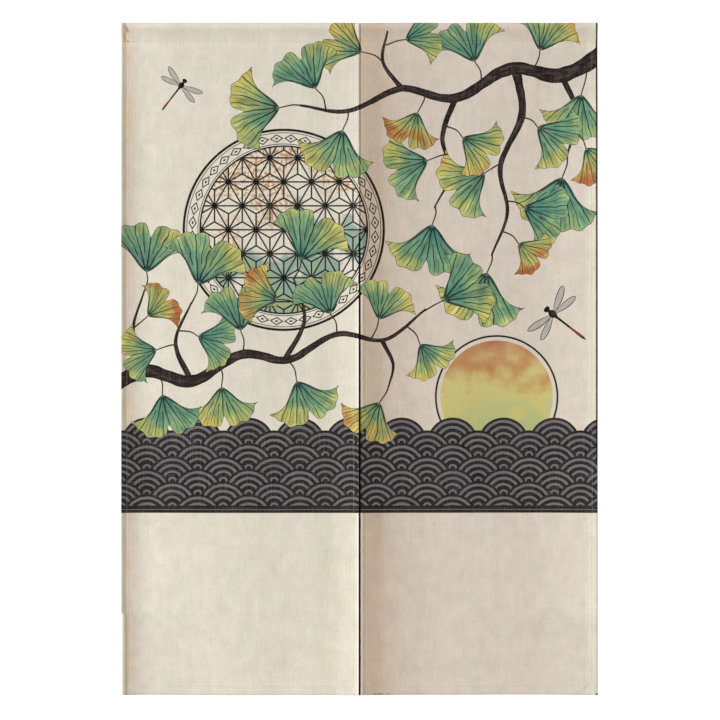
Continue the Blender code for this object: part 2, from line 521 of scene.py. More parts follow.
BOUGHS = (
    Bough(0.034, 0.0045, ((0.470, -0.030), (0.365, -0.093), (0.270, -0.082), (0.170, -0.135),
                          (0.075, -0.118), (-0.020, -0.158), (-0.105, -0.148))),
    Bough(0.017, 0.0035, ((0.280, -0.086), (0.290, -0.165), (0.252, -0.255), (0.264, -0.340),
                          (0.236, -0.415))),
    Bough(0.012, 0.0030, ((0.172, -0.132), (0.148, -0.205), (0.163, -0.268), (0.134, -0.330))),
    Bough(0.010, 0.0035, ((0.078, -0.120), (0.042, -0.070), (0.050, -0.015))),
    Bough(0.012, 0.0030, ((0.362, -0.094), (0.388, -0.165), (0.370, -0.240))),
    Bough(0.030, 0.0040, ((-0.470, -0.668), (-0.385, -0.622), (-0.300, -0.640), (-0.210, -0.592),
                          (-0.128, -0.602), (-0.040, -0.556), (0.045, -0.566), (0.118, -0.512))),
    Bough(0.012, 0.0030, ((-0.302, -0.638), (-0.328, -0.570), (-0.300, -0.500))),
    Bough(0.011, 0.0030, ((-0.132, -0.600), (-0.098, -0.530), (-0.118, -0.455))),
    Bough(0.010, 0.0030, ((-0.388, -0.624), (-0.404, -0.550), (-0.384, -0.478))),
    Bough(0.009, 0.0030, ((0.040, -0.566), (0.060, -0.610), (0.052, -0.650))),
)

LEAVES = (
    Leaf(0.405, -0.072, 0.396, -0.128, 0.082, 0.35),
    Leaf(0.371, -0.238, 0.362, -0.276, 0.098, 0.15),
    Leaf(0.383, -0.195, 0.404, -0.224, 0.066, 0.80),
    Leaf(0.310, -0.084, 0.322, -0.050, 0.076, 0.55),
    Leaf(0.290, -0.168, 0.318, -0.186, 0.078, 0.25),
    Leaf(0.254, -0.250, 0.224, -0.268, 0.084, 0.45),
    Leaf(0.262, -0.318, 0.294, -0.330, 0.080, 0.10),
    Leaf(0.237, -0.412, 0.228, -0.446, 0.098, 0.40),
    Leaf(0.254, -0.372, 0.284, -0.394, 0.058, 0.90),
    Leaf(0.218, -0.108, 0.206, -0.070, 0.080, 0.20),
    Leaf(0.155, -0.185, 0.184, -0.205, 0.072, 0.60),
    Leaf(0.158, -0.235, 0.122, -0.246, 0.080, 0.30),
    Leaf(0.135, -0.328, 0.130, -0.360, 0.092, 0.12),
    Leaf(0.118, -0.124, 0.104, -0.160, 0.066, 0.85),
    Leaf(0.047, -0.040, 0.082, -0.030, 0.066, 0.25),
    Leaf(0.042, -0.070, 0.004, -0.052, 0.074, 0.65),
    Leaf(-0.020, -0.158, -0.030, -0.192, 0.086, 0.35),
    Leaf(-0.060, -0.154, -0.078, -0.118, 0.082, 0.15),
    Leaf(-0.104, -0.148, -0.142, -0.152, 0.092, 0.50),
    Leaf(-0.384, -0.480, -0.380, -0.446, 0.090, 0.20),
    Leaf(-0.403, -0.545, -0.378, -0.524, 0.060, 0.85),
    Leaf(-0.326, -0.575, -0.362, -0.584, 0.066, 0.40),
    Leaf(-0.300, -0.502, -0.288, -0.468, 0.094, 0.30),
    Leaf(-0.322, -0.550, -0.288, -0.560, 0.068, 0.12),
    Leaf(-0.250, -0.612, -0.246, -0.650, 0.074, 0.55),
    Leaf(-0.208, -0.592, -0.212, -0.550, 0.082, 0.18),
    Leaf(-0.110, -0.505, -0.146, -0.494, 0.070, 0.75),
    Leaf(-0.117, -0.458, -0.104, -0.424, 0.092, 0.28),
    Leaf(-0.128, -0.602, -0.112, -0.640, 0.080, 0.32),
    Leaf(-0.040, -0.556, -0.052, -0.520, 0.076, 0.22),
    Leaf(-0.360, -0.628, -0.352, -0.664, 0.078, 0.15),
    Leaf(0.052, -0.648, 0.036, -0.678, 0.072, 0.70),
    Leaf(0.020, -0.566, 0.034, -0.530, 0.070, 0.45),
    Leaf(0.117, -0.514, 0.150, -0.496, 0.090, 0.20),
    Leaf(0.084, -0.542, 0.108, -0.574, 0.064, 0.50),
)


def print_motifs():
    """Everything that is printed, from the back to the front."""
    rng = random.Random(12)
    motifs = [
        roundel(SUN, 0.245, -0.668, 0.112, 110),
        roundel(ROUNDEL, -0.135, -0.370, 0.182, 150),
    ]
    motifs += wave_motifs(rng)
    for bough in reversed(BOUGHS):
        motifs.append(
            stroke(bough.points, bough.thick, bough.thin, BOUGH, rng.random(), knobs=0.13)
        )
    for leaf in LEAVES:
        motifs += leaf_motifs(leaf)
    motifs += dragonfly_motifs(0.345, -0.520, 0.092, math.radians(52))
    motifs += dragonfly_motifs(-0.318, -0.112, 0.070, math.radians(-38))
    return motifs


# Cutting the cloth
class Cut(NamedTuple):
    """The flat cloth in triangles: points, faces, each face's ink, and its corners' spots."""

    points: np.ndarray
    faces: np.ndarray
    inks: np.ndarray
    spots: np.ndarray


# The grid under the cuts: its widest cells, and the closer lines at edges and over the lap
COLUMN = 0.0075
ROW = 0.0115
POCKET_ROW = 0.0022
EDGE_LINES = (0.0, 0.00008, 0.00025, 0.00050, 0.00085)
STITCH_LINES = (0.0, 0.0005, 0.0010, 0.0018)
LAP_LINES = [share * LAP_EASE for share in (0.1, 0.2, 0.3, 0.4, 0.5, 0.6, 0.8, 1.0)]
LAP_SIDE = 0.00015  # right of the middle, where the pocket steps back
CLEAR_OF_LINES = 0.0016


def grid_lines(low, high, step, fixed):
    """Even lines from low to high that give way to the fixed ones."""
    even = np.linspace(low, high, max(2, round((high - low) / step) + 1))
    fixed = np.array(sorted({round(f, 6) for f in fixed if low <= f <= high}))
    clear = [v for v in even if np.abs(fixed - v).min(initial=1.0) > CLEAR_OF_LINES]
    return np.array(sorted({*clear, *fixed, low, high})), fixed


def around_stitches(at):
    return [at + side * part for side in (-1, 1) for part in STITCH_LINES]


def cut_cloth(columns, rows, motifs, offset):
    """The flat sheet cut along its motifs. offset is the print's height over the sheet's own."""
    (xs, firm_x), (zs, firm_z) = columns, rows
    low, high = np.array((xs[0], zs[0])), np.array((xs[-1], zs[-1]))
    index = {}
    points, edges = [], []

    def point(x, z):
        key = (round(float(x), 7), round(float(z), 7))
        if key not in index:
            index[key] = len(points)
            points.append(Vector(key))
        return index[key]

    for x in xs:
        for z in zs:
            point(x, z)
    for x in (low[0], *firm_x, high[0]):
        ends = [point(x, z) for z in zs]
        edges += zip(ends, ends[1:])
    for z in (low[1], *firm_z, high[1]):
        ends = [point(x, z) for x in xs]
        edges += zip(ends, ends[1:])
    shift = np.array((0.0, offset))
    shown = [m for m in motifs if (m.low - shift < high).all() and (m.high - shift > low).all()]
    for motif in shown:
        ends = [point(*corner) for corner in motif.outline - shift]
        edges += [(a, b) for a, b in zip(ends, [*ends[1:], ends[0]]) if a != b]
    made = delaunay_2d_cdt(points, edges, [], 0, 1e-6, False)
    flat = np.array([(v.x, v.y) for v in made[0]])
    faces = np.array(made[2])
    middles = flat[faces].mean(1)
    inside = ((middles > low) & (middles < high)).all(1)
    faces, middles = faces[inside], middles[inside] + shift
    inks = np.zeros(len(faces))
    owner = np.full(len(faces), -1)
    for number, motif in enumerate(shown):
        covered = motif.covers(middles)
        owner[covered] = number
        inks[covered] = motif.ink
    spots = np.zeros((len(faces), 3, 3))
    for number, motif in enumerate(shown):
        mine = owner == number
        if mine.any():
            corners = (flat[faces[mine]] + shift).reshape(-1, 2)
            spots[mine] = motif.spots(corners).reshape(-1, 3, 3)
    used, faces = np.unique(faces, return_inverse=True)
    return Cut(flat[used], faces.reshape(-1, 3), inks, spots)


def add_object(name, data):
    made = bpy.data.objects.new(name, data)
    bpy.context.scene.collection.objects.link(made)
    return made


def laid(place, x, z):
    """Flat points where place lays them, as rows of x, y and z."""
    return np.column_stack(np.broadcast_arrays(*place(x, z)))


def sew(name, cut, place, thickness, offset, materials):
    """The cut sheet laid on its folds as one closed piece, thickened to the back."""
    x, z = cut.points.T
    hung = laid(place, x, z)
    mesh = bpy.data.meshes.new(name)
    mesh.from_pydata(hung.tolist(), [], cut.faces.tolist())
    flat = mesh.uv_layers.new(name="flat")
    corners = cut.points[cut.faces].reshape(-1, 2) + (0.0, offset)
    flat.uv.foreach_set("vector", corners.astype(np.float32).ravel())
    ink = mesh.attributes.new("ink", "FLOAT", "FACE")
    ink.data.foreach_set("value", cut.inks.astype(np.float32))
    spot = mesh.attributes.new("spot", "FLOAT_VECTOR", "CORNER")
    spot.data.foreach_set("vector", cut.spots.astype(np.float32).ravel())
    for material in materials:
        mesh.materials.append(material)
    piece = add_object(name, mesh)
    layers = piece.vertex_groups.new(name="layers")
    weights = np.clip(np.broadcast_to(thickness(x, z), x.shape) / HEM, 0.02, 1.0)
    for level in np.unique(np.round(weights, 3)):
        chosen = np.flatnonzero(np.round(weights, 3) == level)
        layers.add(chosen.tolist(), float(level), "REPLACE")
    bpy.ops.object.select_all(action="DESELECT")
    piece.select_set(True)
    bpy.context.view_layer.objects.active = piece
    cloth = piece.modifiers.new("cloth thickness", "SOLIDIFY")
    cloth.thickness = HEM
    cloth.offset = -1.0
    cloth.vertex_group = layers.name
    cloth.material_offset = 1
    cloth.material_offset_rim = 1
    bpy.ops.object.modifier_apply(modifier=cloth.name)
    piece.vertex_groups.clear()
    bpy.ops.object.shade_smooth_by_angle(angle=math.radians(50))
    piece.select_set(False)
    return piece


def panel_lines(panel):
    columns, rows = [], []
    for edge, way in ((panel.left, 1), (panel.right, -1)):
        columns += [edge + way * d for d in EDGE_LINES]
        columns += [edge + way * (SIDE_HEM + d) for d in (0.0, HEM_SLOPE)]
        columns += around_stitches(edge + way * (SIDE_HEM - STITCH_IN))
    if panel.lapped:
        columns += LAP_LINES
    rows += [-DROP + d for d in EDGE_LINES]
    rows += [-DROP + BOTTOM_HEM + d for d in (0.0, HEM_SLOPE)]
    rows += around_stitches(-DROP + BOTTOM_HEM - STITCH_IN)
    return (
        grid_lines(panel.left, panel.right, COLUMN, columns),
        grid_lines(-DROP, SEW_TOP, ROW, rows),
    )


def pocket_lines():
    columns = [POCKET.left + d for d in EDGE_LINES] + [POCKET.right - d for d in EDGE_LINES]
    columns += [-d for d in EDGE_LINES] + [LAP_SIDE] + LAP_LINES
    for edge, way in ((POCKET.left, 1), (POCKET.right, -1)):
        columns += [edge + way * (SIDE_HEM + d) for d in (0.0, HEM_SLOPE)]
    rows = around_stitches(POCKET.stitch) + around_stitches(POCKET.length - POCKET.stitch)
    return (
        grid_lines(POCKET.left, POCKET.right, COLUMN, columns),
        grid_lines(0.0, POCKET.length, POCKET_ROW, rows),
    )


# Shader maths
class Wire:
    """A socket in a material, with arithmetic that adds Math nodes."""

    def __init__(self, tree, socket):
        self.tree = tree
        self.socket = socket

    def sum(self, operation, *values, **settings):
        return node(self.tree, "ShaderNodeMath", {"operation": operation, **settings},
                    dict(enumerate(values)))

    def __add__(self, other):
        return self.sum("ADD", self, other)

    def __sub__(self, other):
        return self.sum("SUBTRACT", self, other)

    def __rsub__(self, other):
        return self.sum("SUBTRACT", other, self)

    def __mul__(self, other):
        return self.sum("MULTIPLY", self, other)

    def __truediv__(self, other):
        return self.sum("DIVIDE", self, other)

    __radd__ = __add__
    __rmul__ = __mul__

    def sin(self):
        return self.sum("SINE", self)

    def size(self):
        return self.sum("ABSOLUTE", self)

    def fraction(self):
        return self.sum("FRACT", self)

    def least(self, other):
        return self.sum("MINIMUM", self, other)

    def most(self, other):
        return self.sum("MAXIMUM", self, other)

    def power(self, exponent):
        return self.sum("POWER", self, exponent)

    def angle_from(self, other):
        """The angle of the point (other, self)."""
        return self.sum("ARCTAN2", self, other)

    def over(self, low, high):
        """0 below low, 1 above high and a soft step between; high may be the smaller."""
        return node(
            self.tree, "ShaderNodeMapRange", {"interpolation_type": "SMOOTHSTEP"},
            {"Value": self, "From Min": low, "From Max": high},
        )

    def held(self):
        """Kept between 0 and 1."""
        return self.sum("ADD", self, 0.0, use_clamp=True)


def node(tree, kind, settings=None, values=None, out=0):
    """Adds a node, sets it, fills its sockets with numbers or wires and gives one output."""
    made = tree.nodes.new(kind)
    for name, setting in (settings or {}).items():
        if name == "stops":
            set_stops(made.color_ramp, setting)
        else:
            setattr(made, name, setting)
    for name, value in (values or {}).items():
        socket = made.inputs[name]
        if isinstance(value, Wire):
            tree.links.new(value.socket, socket)
        else:
            socket.default_value = value
    return Wire(tree, made.outputs[out])


def set_stops(ramp, stops):
    """Stops as (place, colour), in order."""
    while len(ramp.elements) < len(stops):
        ramp.elements.new(1.0)
    for element, (place, colour) in zip(ramp.elements, stops):
        element.position = place
        element.color = colour


def paint(red, green, blue):
    """A colour as a screen shows it, 0 to 255, made linear."""
    parts = [c / 255.0 for c in (red, green, blue)]
    linear = [c / 12.92 if c <= 0.04045 else ((c + 0.055) / 1.055) ** 2.4 for c in parts]
    return (*linear, 1.0)


def blend(below, above, share):
    """Colour above over colour below."""
    tree = next(w.tree for w in (below, above, share) if isinstance(w, Wire))
    made = tree.nodes.new("ShaderNodeMix")
    made.data_type = "RGBA"
    for name, value in (("Factor_Float", share), ("A_Color", below), ("B_Color", above)):
        socket = next(s for s in made.inputs if s.identifier == name)
        if isinstance(value, Wire):
            tree.links.new(value.socket, socket)
        else:
            socket.default_value = value
    return Wire(tree, next(s for s in made.outputs if s.identifier == "Result_Color"))


def times(colour, factor):
    """The colour multiplied by a colour."""
    product = {"operation": "MULTIPLY"}
    return node(colour.tree, "ShaderNodeVectorMath", product, {0: colour, 1: factor[:3]})


def shaded(colour, amount):
    """The colour with its brightness multiplied by a wire."""
    scale = {"operation": "SCALE"}
    return node(colour.tree, "ShaderNodeVectorMath", scale, {"Vector": colour, "Scale": amount})


def new_material(name):
    """A material, its node tree and its shader."""
    material = bpy.data.materials.new(name)
    material.use_nodes = True
    tree = material.node_tree
    return material, tree, tree.nodes["Principled BSDF"]


# Inks
CHARCOAL = paint(35, 32, 33)
GREY = paint(116, 111, 114)
BLACK = paint(14, 12, 13)
BARK = paint(36, 27, 27)
BARK_LIGHT = paint(84, 67, 61)
TEAL = paint(82, 140, 126)
GREEN = paint(120, 160, 122)
LIME = paint(170, 180, 110)
YELLOW = paint(202, 190, 106)
OCHRE = paint(188, 134, 70)
RUST = paint(166, 88, 54)
RED_INK = paint(168, 56, 40)
WING_GREY = paint(150, 148, 146)
INK_COVER = 0.992
GHOST = 0.24  # share of the print that shows through on the back
# The ground: its two dyes, and the faint casts that drift over them
CREAM = paint(225, 218, 203)
BEIGE = paint(213, 201, 188)
ROSY = (1.010, 0.990, 0.996, 1.0)
GREENISH = (0.994, 1.004, 0.998, 1.0)
GOLDEN = (1.002, 0.998, 0.970, 1.0)
YELLOWED = (1.0, 0.985, 0.870, 1.0)
AGED_REACH = 0.034  # of the yellowed patches along the left edge
STAIN = paint(186, 160, 124)  # of the small specks
# Near the top left corner: the painted shade of a brown crease, painted shade along the hem under
# it, and a dark spot
CREASE_SHADE_BROWN = paint(172, 150, 132)
CREASE_SHADE_X = -0.4200
HEM_SHADE_X = -0.4190
# A dark brown spot.
SPOT_BROWN = paint(112, 100, 84)
SPOT_X, SPOT_Z = -0.4135, -0.0330
# The outer edges: painted shade on the right, and a painted pale highlight low on the left
EDGE_SHADE_WIDTH = 0.0034  # width of the painted shade line
# Painted shade of the right edge, dark above and grey below; the dark one also colours the dot by
# the lower right corner.
EDGE_SHADE_AND_DOT_DARK = paint(34, 27, 22)
EDGE_SHADE_GREY = paint(120, 116, 124)
EDGE_SHADE_GREY_FROM = -0.780  # the right edge's painted shade is only grey below this
# Painted highlight: a pale line along the left edge low down, where the edge's tones also lie
# further in.
PALE_EDGE_TOP = -1.050
PALE_EDGE_WIDTH = 0.0036  # width of the painted pale highlight line
PALE_EDGE_HIGHLIGHT = paint(255, 252, 241)
# Painted shade: the outer cloth darker towards the bottom.
OUTER_LOW_SHADE = 0.07  # how much duller the outer cloth is towards the bottom
LOW_FROM, LOW_FULL = -1.040, -1.075
OUTER_FROM, OUTER_FULL = 0.25, 0.37  # away from the middle
# The slit: a painted shadow at the left panel's edge, with painted highlight lines and a painted
# shade line beside it, from x to x
SLIT_SHADOW = paint(26, 17, 11)
SLIT_HIGHLIGHT = paint(255, 252, 240)
SLIT_ROSY_HIGHLIGHT = paint(255, 236, 220)
SLIT_DULL_SHADE = paint(158, 152, 132)
HIGHLIGHT_LINE = (-0.0043, -0.0025)
ROSY_HIGHLIGHT_LINE = (0.0019, 0.0050)
DULL_SHADE_LINE = (0.0062, 0.0100)
# The bottom edge's painted shade line, and the dark dashes beside the slit's foot
FOOT_LINE = 0.0024
FOOT_SHADE_TINT = (0.865, 0.915, 0.945, 1.0)
FOOT_DARK = paint(92, 88, 76)
DASHES_FROM, DASHES_TO = 0.021, 0.058
# The dark dot, and the painted shade of a faint slanting crease, near the lower right corner
DOT_X, DOT_Z = WIDTH / 2 - 0.0010, -DROP + 0.0014
CORNER_X, CORNER_Z = 0.4030, -1.1862
CORNER_SLANT = math.radians(43.4)

# The dye across each panel, with painted light and shade laid into it: (distance from its left
# edge, colour), wandering a little
# Painted shade: the dark band along the left edge and the dimmer cloth before the slit; painted
# highlight: the paler cloth inside the edge band and at the slit.
LEFT_DYE_AND_PAINTED_LIGHT = (
    (0.0000, paint(220, 209, 194)),
    (0.0022, paint(208, 196, 181)),
    (0.0042, paint(191, 178, 163)),
    (0.0058, paint(191, 178, 163)),
    (0.0088, paint(213, 200, 185)),
    (0.0105, paint(226, 212, 197)),
    (0.0200, paint(227, 213, 199)),
    (0.0340, paint(229, 222, 207)),
    (0.0600, paint(231, 224, 209)),
    (0.0950, CREAM),
    (0.3200, CREAM),
    (0.3560, paint(222, 215, 199)),
    (0.3800, paint(223, 216, 200)),
    (0.4100, CREAM),
    (0.4180, paint(231, 225, 210)),
    (0.4250, paint(233, 227, 213)),
)
# Painted shade: the darker, browner cloth beside the slit; painted highlight: the paler cloth at
# the right edge.
RIGHT_DYE_AND_PAINTED_LIGHT = (
    (0.0000, paint(206, 186, 166)),
    (0.0340, paint(199, 180, 161)),
    (0.0500, paint(206, 190, 175)),
    (0.1350, BEIGE),
    (0.1900, paint(218, 207, 194)),
    (0.2450, paint(216, 205, 192)),
    (0.3000, paint(214, 202, 189)),
    (0.3400, paint(215, 205, 191)),
    (0.4000, paint(216, 206, 193)),
    (0.4120, paint(224, 217, 200)),
    (0.4250, paint(226, 219, 203)),
)
# Painted light and shade on the doubled pocket, its tone against the single cloth: (depth below the
# top edge, tone)
POCKET_PAINTED_LIGHT = (
    (0.000, 1.00), (0.005, 1.05), (0.009, 1.05), (0.013, 0.99), (0.031, 1.05), (0.036, 1.10)
)
# Painted light: the cloth just under the pocket is painted paler.
BELOW_POCKET_PAINTED_LIGHT = 1.030  # the cloth just under it, paler
BELOW_REACH = 0.022

YARN = 0.00062  # from one thread to the next
YARN_DEPTH = 0.00016  # of the bump that the weave makes
ROUGHNESS = 0.88
INK_SMOOTHER = 0.06
SHINE = 0.10

# The print's washes and lines, in shares of each motif's own size
LEAF_STOPS = ((0.0, TEAL), (0.36, GREEN), (0.58, LIME), (0.80, YELLOW), (1.0, OCHRE))
SUN_STOPS = ((0.10, LIME), (0.38, YELLOW), (0.62, OCHRE), (0.95, RUST))
WAVE_ARCS = ((0.80, 0.90), (0.57, 0.67), (0.34, 0.43), (0.10, 0.18))
LATTICE_PITCH = 0.235
LATTICE_LINE = 0.0135
DIAMONDS = 40  # round the roundel's border
BORDER = (0.853, 0.941)
ROUNDEL_RULES = (  # from, to, softness
    (0.812, 0.828, 0.003), (0.838, 0.845, 0.002), (0.948, 0.955, 0.002), (0.968, 0.992, 0.003)
)


class ClothPaint:
    """Builds one cloth material: the ground, its weave and the print over it."""

    def __init__(self, name, side, print_share):
        self.material, self.tree, self.shader = new_material(name)
        self.side = side
        self.print_share = print_share
        self.x, self.z, _ = self.parts(self.node("ShaderNodeUVMap", {"uv_map": "flat"}))
        self.ink = self.node("ShaderNodeAttribute", {"attribute_name": "ink"}, out=2)
        spot = self.node("ShaderNodeAttribute", {"attribute_name": "spot"}, out=1)
        self.u, self.v, self.tint = self.parts(spot)
        self.reach = self.length(self.u, self.v)

    def node(self, *given, **named):
        return node(self.tree, *given, **named)

    def parts(self, vector):
        made = self.tree.nodes.new("ShaderNodeSeparateXYZ")
        self.tree.links.new(vector.socket, made.inputs[0])
        return [Wire(self.tree, s) for s in made.outputs]

    def length(self, across, up):
        return (across * across + up * up).power(0.5)

    def noise(self, scale_x, scale_z, detail, seed, roughness=0.5):
        """Noise on the flat cloth, in lumps per metre each way."""
        return self.noise_at(self.x * scale_x, self.z * scale_z, seed, detail, roughness)

    def noise_at(self, x, y, z, detail, roughness=0.5):
        place = self.node("ShaderNodeCombineXYZ", None, {0: x, 1: y, 2: z})
        return self.node(
            "ShaderNodeTexNoise", None,
            {"Vector": place, "Scale": 1.0, "Detail": detail, "Roughness": roughness},
        )

    def ramp(self, stops, at):
        return self.node("ShaderNodeValToRGB", {"stops": stops}, {"Fac": at})

    def pulse(self, value, low, high, soft=0.012):
        """1 between low and high, with soft steps at both."""
        return value.over(low - soft, low + soft) * value.over(high + soft, high - soft)

    def is_ink(self, number):
        return self.node(
            "ShaderNodeMath", {"operation": "COMPARE"}, {0: self.ink, 1: float(number), 2: 0.5}
        )

    def yarns(self):
        """The plain weave, 0 between threads and 1 on top of them, and its uneven threads."""
        across = (self.x * (math.pi / YARN)).sin()
        up = (self.z * (math.pi / YARN)).sin()
        tops = (across * up).size().power(0.6)
        upright = self.noise(520.0, 14.0, 2.0, 3.0)
        level = self.noise(16.0, 480.0, 2.0, 8.0)
        return tops, upright, level

    def cloth(self, tops, upright, level):
        """The unprinted ground: its colour with painted light and shade, its uneven yarns, what the
        years left on it and the painted light and shade along its edges.
        """
        # Painted shade: the cloth a little darker between the threads than on their tops.
        tone = 1.0 + (tops - 0.6) * 0.06
        for uneven, share in (
            (self.noise(7.0, 6.0, 4.0, 1.0, 0.62), 0.12),
            (self.noise(42.0, 30.0, 5.0, 5.0, 0.75), 0.40),
            (self.noise(300.0, 240.0, 2.0, 71.0), 0.15),
            (upright, 0.17),
            (level, 0.08),
        ):
            tone = tone + (uneven - 0.5) * share
        # Painted shade: the outer cloth on both sides darker towards the bottom, but for the
        # outermost few millimetres on the left.
        low = self.z.over(LOW_FROM, LOW_FULL) * self.x.size().over(OUTER_FROM, OUTER_FULL)
        tone = tone - low * self.x.over(-0.420, -0.408) * OUTER_LOW_SHADE
        dye_and_painted_light = self.dye_and_painted_light()
        rosy = self.noise(20.0, 14.0, 4.0, 27.0, 0.7).over(0.35, 0.65)
        dye_and_painted_light = blend(times(dye_and_painted_light, GREENISH), times(dye_and_painted_light, ROSY), rosy)
        golden = self.noise(26.0, 18.0, 4.0, 61.0, 0.7).over(0.35, 0.65)
        dye_and_painted_light = blend(dye_and_painted_light, times(dye_and_painted_light, GOLDEN), golden)
        aged = self.x.over(-WIDTH / 2 + AGED_REACH, -WIDTH / 2 + SIDE_HEM)
        aged = aged * self.noise(24.0, 15.0, 3.0, 83.0).over(0.46, 0.60)
        dye_and_painted_light = blend(dye_and_painted_light, times(dye_and_painted_light, YELLOWED), aged)
        # The tone carries the pocket's painted light and shade.
        colour = shaded(dye_and_painted_light, tone * self.pocket_painted_light())
        speck = self.noise(330.0, 260.0, 0.0, 14.0).over(0.826, 0.866)
        colour = blend(colour, STAIN, speck * 0.5)
        return self.marks_and_painted_light(colour)

    def pocket_painted_light(self):
        """Painted light and shade: how the doubled pocket and the cloth just below it differ in
        tone.
        """
        depth = self.z * -1.0
        if self.side != "pocket":
            return 1.0 + depth.over(POCKET_DROP + BELOW_REACH, POCKET_DROP) * (BELOW_POCKET_PAINTED_LIGHT - 1.0)
        (_, tone), *rest = POCKET_PAINTED_LIGHT
        tones = tone
        for (above, before), (below, after) in zip(POCKET_PAINTED_LIGHT, rest):
            tones = depth.over(above, below) * (after - before) + tones
        return tones

    def dye_and_painted_light(self):
        """Cream on the left and beige on the right, each with its painted light and shade; the
        pocket has both.
        """
        if self.side == "left":
            return self.dyed_with_painted_light(LEFT_DYE_AND_PAINTED_LIGHT, self.pale_edge_below() * PALE_EDGE_WIDTH - WIDTH / 2)
        if self.side == "right":
            return self.dyed_with_painted_light(RIGHT_DYE_AND_PAINTED_LIGHT, 0.0)
        across = self.x.over(0.0, 0.0003)
        return blend(self.dyed_with_painted_light(LEFT_DYE_AND_PAINTED_LIGHT, -WIDTH / 2), self.dyed_with_painted_light(RIGHT_DYE_AND_PAINTED_LIGHT, 0.0), across)

    def dyed_with_painted_light(self, tones, start):
        """The tones across a panel whose left edge is at start, painted light and shade included.
        """
        width = tones[-1][0]
        away = self.x - start
        wander = (self.noise(3.0, 30.0, 3.0, 40.0) - 0.5) * 0.012 * away.over(0.004, 0.03)
        return self.ramp([(at / width, colour) for at, colour in tones], (away + wander) / width)

    def pale_edge_below(self):
        """1 low down, where the left edge has its painted pale highlight line and its tones lie
        further in.
        """
        return self.z.over(PALE_EDGE_TOP, PALE_EDGE_TOP - 0.008)

    def marks_and_painted_light(self, colour):
        """What use has left on the cloth, with the painted light and shade along its edges and
        beside the slit, under the print.
        """
        colour = self.foot(self.corners(colour))
        # Painted highlight: a pale line along the left edge, low down.
        edge = self.x.over(-WIDTH / 2 + PALE_EDGE_WIDTH * 1.05, -WIDTH / 2 + PALE_EDGE_WIDTH * 0.85)
        colour = blend(colour, PALE_EDGE_HIGHLIGHT, edge * self.pale_edge_below() * 0.88)
        # Painted shade: a grey line down the right edge, low down.
        colour = blend(colour, EDGE_SHADE_GREY, self.outer_line() * (1.0 - self.dark_edge_shade_above()) * 0.22)
        if self.print_share < 1.0 or self.side == "pocket":
            return colour
        below = self.below_slit_top()
        if self.side == "left":
            # Painted highlight: a pale line left of the slit's shadow.
            pale = self.pulse(self.x, *HIGHLIGHT_LINE, 0.0003)
            return blend(colour, SLIT_HIGHLIGHT, pale * below * 0.9)
        # Painted shade: a dull line right of the slit; then a rosy painted highlight between it and
        # the slit.
        dull = self.pulse(self.x, *DULL_SHADE_LINE, 0.0008) * self.noise(9.0, 60.0, 3.0, 95.0)
        colour = blend(colour, SLIT_DULL_SHADE, dull * below * 0.75)
        rosy = self.pulse(self.x + self.ragged() * 0.5, *ROSY_HIGHLIGHT_LINE, 0.0003)
        return blend(colour, SLIT_ROSY_HIGHLIGHT, rosy * below)

    def corners(self, colour):
        """Near the top left corner, the painted shade of a crease and of the hem under it and a
        dark spot; near the lower right one, a dark dot and the painted shade of a slanting crease.
        """
        along = self.z * -1.0
        # Painted shade: a brown crease at the pocket's end and a darker band along the hem under
        # it.
        wobble = (self.noise(420.0, 300.0, 2.0, 77.0) - 0.5) * 0.0026
        crease = (self.x + wobble - CREASE_SHADE_X - along * 0.40).size() - along * 0.10
        crease = crease.over(0.0028, 0.0000) * self.pulse(along, 0.003, 0.017, 0.003)
        hem_shade = (self.x + wobble - HEM_SHADE_X).size().over(0.0034, 0.0002)
        hem_shade = hem_shade * self.pulse(along, 0.018, 0.034, 0.005)
        colour = blend(colour, CREASE_SHADE_BROWN, crease.most(hem_shade) * 0.85)
        spot = self.length(self.x - SPOT_X, self.z - SPOT_Z).over(0.0024, 0.0007)
        dot = self.length(self.x - DOT_X, self.z - DOT_Z).over(0.0034, 0.0022)
        colour = blend(blend(colour, SPOT_BROWN, spot * 0.8), EDGE_SHADE_AND_DOT_DARK, dot * 0.92)
        # Painted shade: the faint slanting crease darkens the cloth.
        right, up = self.x - CORNER_X, self.z - CORNER_Z
        cos, sin = math.cos(CORNER_SLANT), math.sin(CORNER_SLANT)
        across = (right * cos - up * sin).size().over(0.0042, 0.0)
        down = (right * sin + up * cos).size().over(0.014, 0.004)
        return shaded(colour, 1.0 - across * down * 0.16)

    def foot(self, colour):
        """The painted shade of the bottom edge: a grey-green line, with dark dashes beside the
        slit.
        """
        # Painted shade: a grey-green line along the bottom edge.
        line = self.z.over(-DROP + FOOT_LINE * 1.6, -DROP + FOOT_LINE)
        uneven = self.noise(70.0, 1.0, 3.0, 91.0) * 2.0
        colour = blend(colour, times(colour, FOOT_SHADE_TINT), (line * uneven).held())
        dashes = self.noise(380.0, 1.0, 1.0, 93.0).over(0.42, 0.58)
        dashes = dashes * self.pulse(self.x, DASHES_FROM, DASHES_TO, 0.001)
        return blend(colour, FOOT_DARK, line * dashes * 0.8)

    def ragged(self):
        """How far the slit's painted shadow line wanders."""
        return (self.noise(1.0, 70.0, 2.0, 51.0) - 0.5) * 0.0022

    def below_slit_top(self):
        return self.z.over(-SLIT_TOP, -SLIT_TOP - 0.004)

    def dark_edge_shade_above(self):
        """1 high up, where the right edge's painted shade is dark, and 0 below, where it is only
        grey.
        """
        return self.z.over(EDGE_SHADE_GREY_FROM - 0.012, EDGE_SHADE_GREY_FROM + 0.012)

    def outer_line(self):
        return self.x.over(WIDTH / 2 - EDGE_SHADE_WIDTH, WIDTH / 2 - EDGE_SHADE_WIDTH * 0.8)

    def edges(self, colour):
        """The painted shade along the right edge and the slit's painted shadow line, which cross
        the print too.
        """
